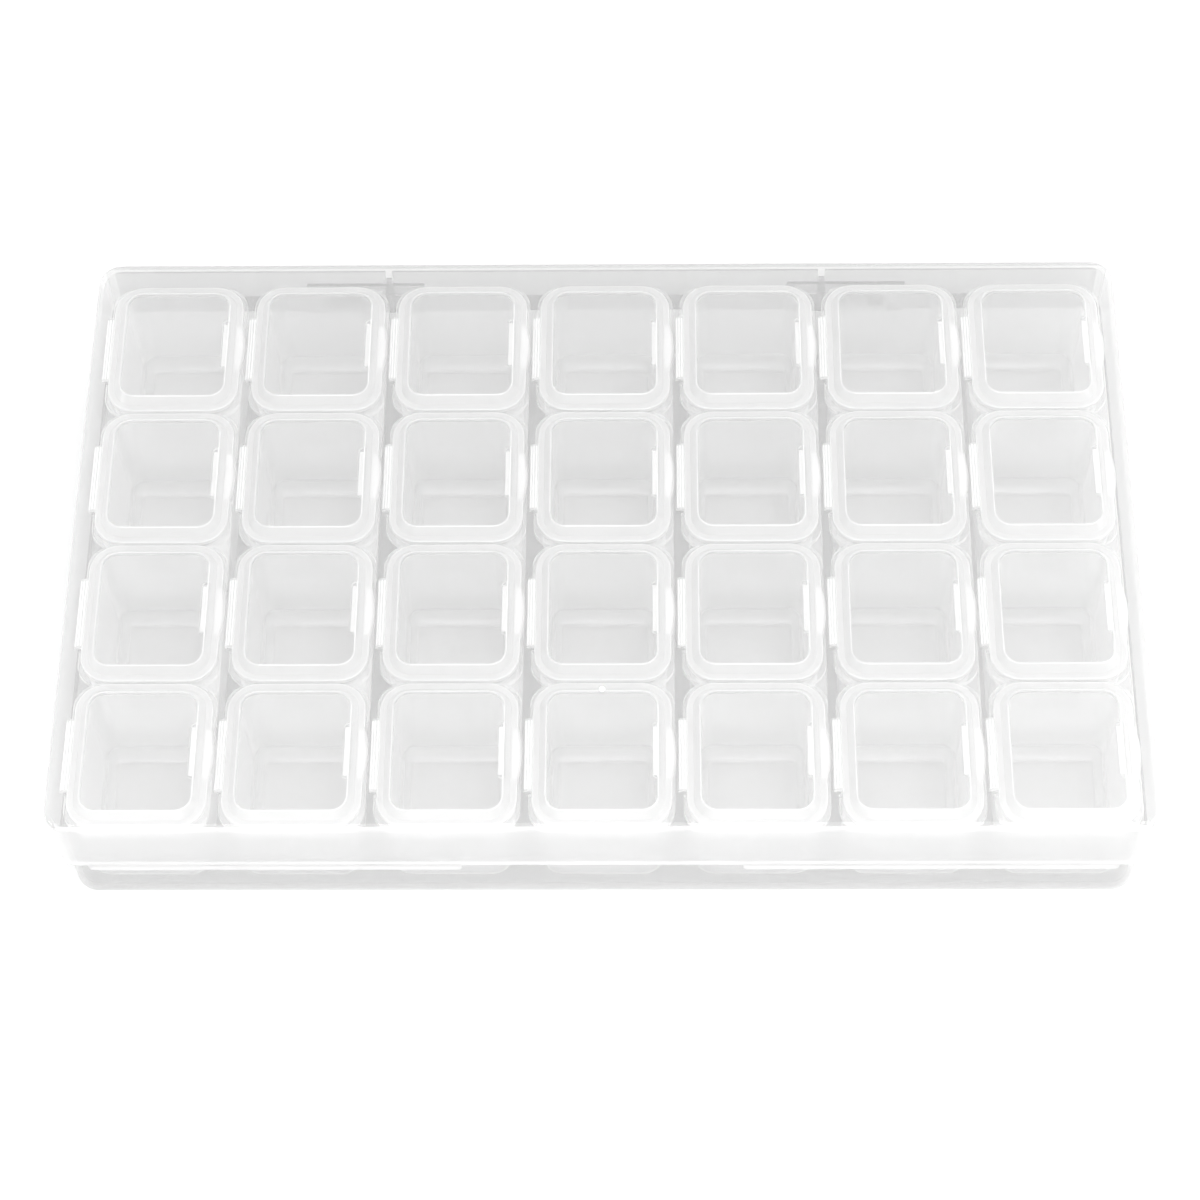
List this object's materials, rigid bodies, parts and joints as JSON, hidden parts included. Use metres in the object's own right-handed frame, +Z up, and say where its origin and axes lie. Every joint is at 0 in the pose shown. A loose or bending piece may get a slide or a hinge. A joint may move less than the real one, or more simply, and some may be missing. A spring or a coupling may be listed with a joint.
{
  "type": "bead organizer case",
  "caption": "Flat clear case with a hinged cover, holding strips of small rounded cups, each cup with its own flip lid.",
  "frame": {"origin": "on the table under the case, at the centre of the cover's outline, in the plane of the flat underside", "axes": "+X along the row of cup strips, +Y from the front with the thumb notch to the hinged back, +Z up"},
  "size_m": [0.175, 0.1111, 0.026],
  "materials": {
    "clear_case": "clear moulded polypropylene, glossy with a slight haze",
    "frosted_cups": "milky-clear moulded polypropylene",
    "clear_lids": "milky-clear moulded polypropylene, soft gloss"
  },
  "bodies": {
    "case": {"case_base": "clear_case", "strip_1": "frosted_cups", "strip_2": "frosted_cups", "strip_3": "frosted_cups", "strip_4": "frosted_cups", "strip_5": "frosted_cups", "strip_6": "frosted_cups", "strip_7": "frosted_cups"},
    "cover": {"case_cover": "clear_case"},
    "lid_1_1": {"lid_1_1": "clear_lids"},
    "lid_1_2": {"lid_1_2": "clear_lids"},
    "lid_1_3": {"lid_1_3": "clear_lids"},
    "lid_1_4": {"lid_1_4": "clear_lids"},
    "lid_2_1": {"lid_2_1": "clear_lids"},
    "lid_2_2": {"lid_2_2": "clear_lids"},
    "lid_2_3": {"lid_2_3": "clear_lids"},
    "lid_2_4": {"lid_2_4": "clear_lids"},
    "lid_3_1": {"lid_3_1": "clear_lids"},
    "lid_3_2": {"lid_3_2": "clear_lids"},
    "lid_3_3": {"lid_3_3": "clear_lids"},
    "lid_3_4": {"lid_3_4": "clear_lids"},
    "lid_4_1": {"lid_4_1": "clear_lids"},
    "lid_4_2": {"lid_4_2": "clear_lids"},
    "lid_4_3": {"lid_4_3": "clear_lids"},
    "lid_4_4": {"lid_4_4": "clear_lids"},
    "lid_5_1": {"lid_5_1": "clear_lids"},
    "lid_5_2": {"lid_5_2": "clear_lids"},
    "lid_5_3": {"lid_5_3": "clear_lids"},
    "lid_5_4": {"lid_5_4": "clear_lids"},
    "lid_6_1": {"lid_6_1": "clear_lids"},
    "lid_6_2": {"lid_6_2": "clear_lids"},
    "lid_6_3": {"lid_6_3": "clear_lids"},
    "lid_6_4": {"lid_6_4": "clear_lids"},
    "lid_7_1": {"lid_7_1": "clear_lids"},
    "lid_7_2": {"lid_7_2": "clear_lids"},
    "lid_7_3": {"lid_7_3": "clear_lids"},
    "lid_7_4": {"lid_7_4": "clear_lids"}
  },
  "joints": [
    {"name": "case_cover_hinge", "type": "hinge", "parent": "case", "child": "cover", "pos_m": [0, 0.05505, 0.013], "axis": [-1, 0, 0], "range_deg": [0, 180]},
    {"name": "lid_1_1_hinge", "type": "hinge", "parent": "case", "child": "lid_1_1", "pos_m": [-0.0852, -0.03948, 0.02185], "axis": [0, -1, 0], "range_deg": [0, 110]},
    {"name": "lid_1_2_hinge", "type": "hinge", "parent": "case", "child": "lid_1_2", "pos_m": [-0.0852, -0.01342, 0.02185], "axis": [0, -1, 0], "range_deg": [0, 110]},
    {"name": "lid_1_3_hinge", "type": "hinge", "parent": "case", "child": "lid_1_3", "pos_m": [-0.0852, 0.01263, 0.02185], "axis": [0, -1, 0], "range_deg": [0, 110]},
    {"name": "lid_1_4_hinge", "type": "hinge", "parent": "case", "child": "lid_1_4", "pos_m": [-0.0852, 0.03868, 0.02185], "axis": [0, -1, 0], "range_deg": [0, 110]},
    {"name": "lid_2_1_hinge", "type": "hinge", "parent": "case", "child": "lid_2_1", "pos_m": [-0.0607, -0.03948, 0.02185], "axis": [0, -1, 0], "range_deg": [0, 110]},
    {"name": "lid_2_2_hinge", "type": "hinge", "parent": "case", "child": "lid_2_2", "pos_m": [-0.0607, -0.01342, 0.02185], "axis": [0, -1, 0], "range_deg": [0, 110]},
    {"name": "lid_2_3_hinge", "type": "hinge", "parent": "case", "child": "lid_2_3", "pos_m": [-0.0607, 0.01263, 0.02185], "axis": [0, -1, 0], "range_deg": [0, 110]},
    {"name": "lid_2_4_hinge", "type": "hinge", "parent": "case", "child": "lid_2_4", "pos_m": [-0.0607, 0.03868, 0.02185], "axis": [0, -1, 0], "range_deg": [0, 110]},
    {"name": "lid_3_1_hinge", "type": "hinge", "parent": "case", "child": "lid_3_1", "pos_m": [-0.0362, -0.03948, 0.02185], "axis": [0, -1, 0], "range_deg": [0, 110]},
    {"name": "lid_3_2_hinge", "type": "hinge", "parent": "case", "child": "lid_3_2", "pos_m": [-0.0362, -0.01342, 0.02185], "axis": [0, -1, 0], "range_deg": [0, 110]},
    {"name": "lid_3_3_hinge", "type": "hinge", "parent": "case", "child": "lid_3_3", "pos_m": [-0.0362, 0.01263, 0.02185], "axis": [0, -1, 0], "range_deg": [0, 110]},
    {"name": "lid_3_4_hinge", "type": "hinge", "parent": "case", "child": "lid_3_4", "pos_m": [-0.0362, 0.03868, 0.02185], "axis": [0, -1, 0], "range_deg": [0, 110]},
    {"name": "lid_4_1_hinge", "type": "hinge", "parent": "case", "child": "lid_4_1", "pos_m": [-0.0117, -0.03948, 0.02185], "axis": [0, -1, 0], "range_deg": [0, 110]},
    {"name": "lid_4_2_hinge", "type": "hinge", "parent": "case", "child": "lid_4_2", "pos_m": [-0.0117, -0.01342, 0.02185], "axis": [0, -1, 0], "range_deg": [0, 110]},
    {"name": "lid_4_3_hinge", "type": "hinge", "parent": "case", "child": "lid_4_3", "pos_m": [-0.0117, 0.01263, 0.02185], "axis": [0, -1, 0], "range_deg": [0, 110]},
    {"name": "lid_4_4_hinge", "type": "hinge", "parent": "case", "child": "lid_4_4", "pos_m": [-0.0117, 0.03868, 0.02185], "axis": [0, -1, 0], "range_deg": [0, 110]},
    {"name": "lid_5_1_hinge", "type": "hinge", "parent": "case", "child": "lid_5_1", "pos_m": [0.0128, -0.03948, 0.02185], "axis": [0, -1, 0], "range_deg": [0, 110]},
    {"name": "lid_5_2_hinge", "type": "hinge", "parent": "case", "child": "lid_5_2", "pos_m": [0.0128, -0.01342, 0.02185], "axis": [0, -1, 0], "range_deg": [0, 110]},
    {"name": "lid_5_3_hinge", "type": "hinge", "parent": "case", "child": "lid_5_3", "pos_m": [0.0128, 0.01263, 0.02185], "axis": [0, -1, 0], "range_deg": [0, 110]},
    {"name": "lid_5_4_hinge", "type": "hinge", "parent": "case", "child": "lid_5_4", "pos_m": [0.0128, 0.03868, 0.02185], "axis": [0, -1, 0], "range_deg": [0, 110]},
    {"name": "lid_6_1_hinge", "type": "hinge", "parent": "case", "child": "lid_6_1", "pos_m": [0.0373, -0.03948, 0.02185], "axis": [0, -1, 0], "range_deg": [0, 110]},
    {"name": "lid_6_2_hinge", "type": "hinge", "parent": "case", "child": "lid_6_2", "pos_m": [0.0373, -0.01342, 0.02185], "axis": [0, -1, 0], "range_deg": [0, 110]},
    {"name": "lid_6_3_hinge", "type": "hinge", "parent": "case", "child": "lid_6_3", "pos_m": [0.0373, 0.01263, 0.02185], "axis": [0, -1, 0], "range_deg": [0, 110]},
    {"name": "lid_6_4_hinge", "type": "hinge", "parent": "case", "child": "lid_6_4", "pos_m": [0.0373, 0.03868, 0.02185], "axis": [0, -1, 0], "range_deg": [0, 110]},
    {"name": "lid_7_1_hinge", "type": "hinge", "parent": "case", "child": "lid_7_1", "pos_m": [0.0618, -0.03948, 0.02185], "axis": [0, -1, 0], "range_deg": [0, 110]},
    {"name": "lid_7_2_hinge", "type": "hinge", "parent": "case", "child": "lid_7_2", "pos_m": [0.0618, -0.01342, 0.02185], "axis": [0, -1, 0], "range_deg": [0, 110]},
    {"name": "lid_7_3_hinge", "type": "hinge", "parent": "case", "child": "lid_7_3", "pos_m": [0.0618, 0.01263, 0.02185], "axis": [0, -1, 0], "range_deg": [0, 110]},
    {"name": "lid_7_4_hinge", "type": "hinge", "parent": "case", "child": "lid_7_4", "pos_m": [0.0618, 0.03868, 0.02185], "axis": [0, -1, 0], "range_deg": [0, 110]}
  ],
  "couplings": [
    {"joint": "lid_1_1_hinge", "follows": "case_cover_hinge", "ratio": 0.6},
    {"joint": "lid_1_2_hinge", "follows": "case_cover_hinge", "ratio": 0.6},
    {"joint": "lid_1_3_hinge", "follows": "case_cover_hinge", "ratio": 0.6},
    {"joint": "lid_1_4_hinge", "follows": "case_cover_hinge", "ratio": 0.4},
    {"joint": "lid_2_1_hinge", "follows": "case_cover_hinge", "ratio": 0.6},
    {"joint": "lid_2_2_hinge", "follows": "case_cover_hinge", "ratio": 0.6},
    {"joint": "lid_2_3_hinge", "follows": "case_cover_hinge", "ratio": 0.6},
    {"joint": "lid_2_4_hinge", "follows": "case_cover_hinge", "ratio": 0.4},
    {"joint": "lid_3_1_hinge", "follows": "case_cover_hinge", "ratio": 0.6},
    {"joint": "lid_3_2_hinge", "follows": "case_cover_hinge", "ratio": 0.6},
    {"joint": "lid_3_3_hinge", "follows": "case_cover_hinge", "ratio": 0.6},
    {"joint": "lid_3_4_hinge", "follows": "case_cover_hinge", "ratio": 0.4},
    {"joint": "lid_4_1_hinge", "follows": "case_cover_hinge", "ratio": 0.6},
    {"joint": "lid_4_2_hinge", "follows": "case_cover_hinge", "ratio": 0.6},
    {"joint": "lid_4_3_hinge", "follows": "case_cover_hinge", "ratio": 0.6},
    {"joint": "lid_4_4_hinge", "follows": "case_cover_hinge", "ratio": 0.4},
    {"joint": "lid_5_1_hinge", "follows": "case_cover_hinge", "ratio": 0.6},
    {"joint": "lid_5_2_hinge", "follows": "case_cover_hinge", "ratio": 0.6},
    {"joint": "lid_5_3_hinge", "follows": "case_cover_hinge", "ratio": 0.6},
    {"joint": "lid_5_4_hinge", "follows": "case_cover_hinge", "ratio": 0.4},
    {"joint": "lid_6_1_hinge", "follows": "case_cover_hinge", "ratio": 0.6},
    {"joint": "lid_6_2_hinge", "follows": "case_cover_hinge", "ratio": 0.6},
    {"joint": "lid_6_3_hinge", "follows": "case_cover_hinge", "ratio": 0.6},
    {"joint": "lid_6_4_hinge", "follows": "case_cover_hinge", "ratio": 0.4},
    {"joint": "lid_7_1_hinge", "follows": "case_cover_hinge", "ratio": 0.6},
    {"joint": "lid_7_2_hinge", "follows": "case_cover_hinge", "ratio": 0.6},
    {"joint": "lid_7_3_hinge", "follows": "case_cover_hinge", "ratio": 0.6},
    {"joint": "lid_7_4_hinge", "follows": "case_cover_hinge", "ratio": 0.4}
  ]
}
